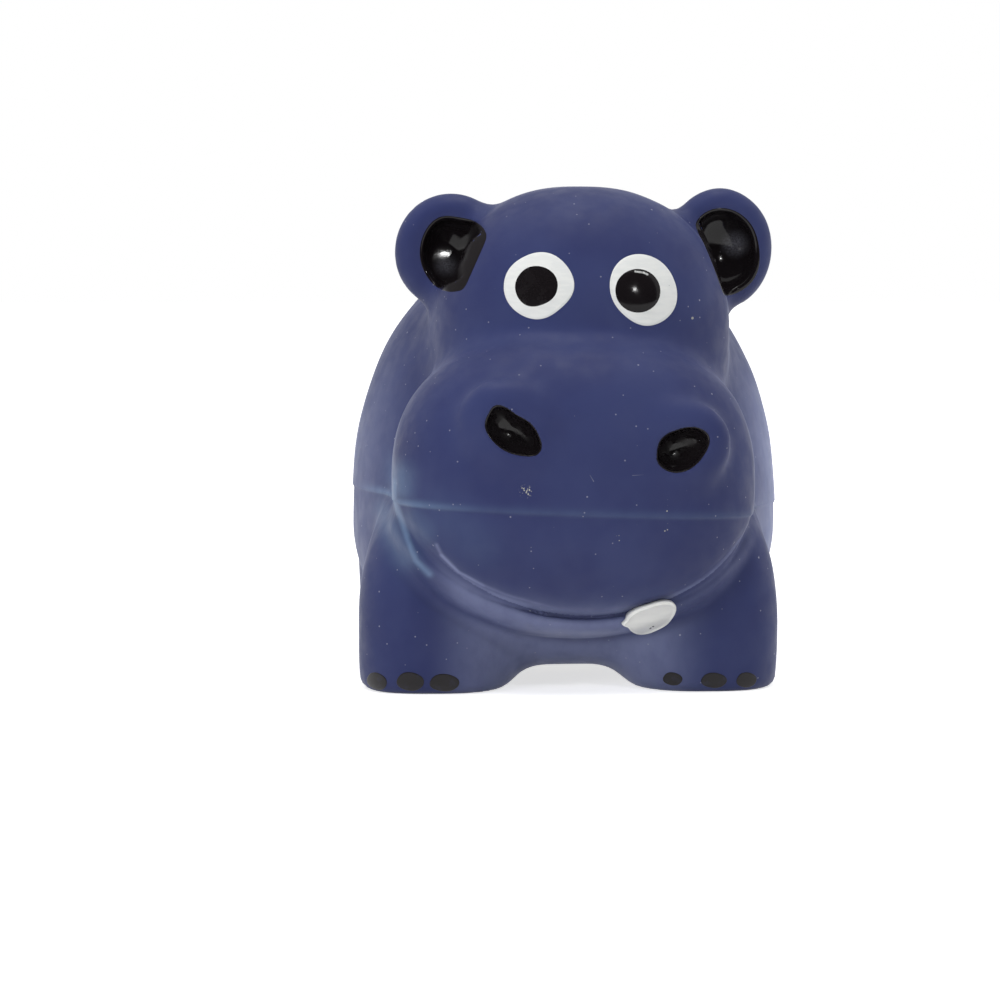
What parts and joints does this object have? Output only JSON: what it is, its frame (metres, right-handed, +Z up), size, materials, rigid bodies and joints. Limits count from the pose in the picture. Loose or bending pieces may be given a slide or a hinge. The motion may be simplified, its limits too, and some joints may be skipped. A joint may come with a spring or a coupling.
{
  "type": "latex dog toy",
  "caption": "Hollow moulded latex dog toy in the shape of a chunky standing hippo, painted by hand, with a squeaker in its belly.",
  "frame": {"origin": "on the ground under the middle of the toy's outline", "axes": "+Z up, -Y the way the hippo looks, +X to the right seen from the front"},
  "size_m": [0.076, 0.1103, 0.0853],
  "materials": {
    "latex": "matte navy latex, dip coloured",
    "polyester_fibre": "loose white polyester filling",
    "squeaker_plastic": "moulded natural polyethylene",
    "reed_metal": "thin rolled brass",
    "white_enamel": "brushed white enamel",
    "black_enamel": "thick glossy black enamel",
    "claw_enamel": "thin dull charcoal enamel"
  },
  "bodies": {
    "skin": {"latex_skin": "latex", "fibre_filling": "polyester_fibre", "squeaker_case": "squeaker_plastic", "squeaker_cap": "squeaker_plastic", "reed_tube": "squeaker_plastic", "reed_seat": "squeaker_plastic", "left_foot_outer_claw": "claw_enamel", "left_foot_middle_claw": "claw_enamel", "left_foot_inner_claw": "claw_enamel", "right_foot_inner_claw": "claw_enamel", "right_foot_middle_claw": "claw_enamel", "right_foot_outer_claw": "claw_enamel"},
    "upper_face": {"left_eye_white": "white_enamel", "right_eye_white": "white_enamel", "left_pupil": "black_enamel", "right_pupil": "black_enamel", "left_ear_lining": "black_enamel", "right_ear_lining": "black_enamel"},
    "nose": {"left_nostril_lining": "black_enamel", "right_nostril_lining": "black_enamel"},
    "mouth": {"tooth": "white_enamel"},
    "reed": {"reed": "reed_metal"}
  },
  "joints": [
    {"name": "squeeze", "type": "slide", "parent": "skin", "child": "upper_face", "axis": [0, 0, -1], "range_m": [0, 0.016], "stiffness_N_per_m": 100, "deforming": ["latex_skin", "fibre_filling"]},
    {"name": "squeeze_nose", "type": "slide", "parent": "skin", "child": "nose", "axis": [0, 0, -1], "range_m": [0, 0.01], "stiffness_N_per_m": 20},
    {"name": "squeeze_mouth", "type": "slide", "parent": "skin", "child": "mouth", "axis": [0, 0, -1], "range_m": [0, 0.0032], "stiffness_N_per_m": 20},
    {"name": "reed_flex", "type": "hinge", "parent": "skin", "child": "reed", "pos_m": [-0.0003, 0.00353, 0.0122], "axis": [1, 0, 0], "range_deg": [-5, 2], "stiffness_Nm_per_rad": 0.0002}
  ],
  "couplings": [
    {"joint": "squeeze_nose", "follows": "squeeze", "ratio": 0.61},
    {"joint": "squeeze_mouth", "follows": "squeeze", "ratio": 0.19}
  ]
}
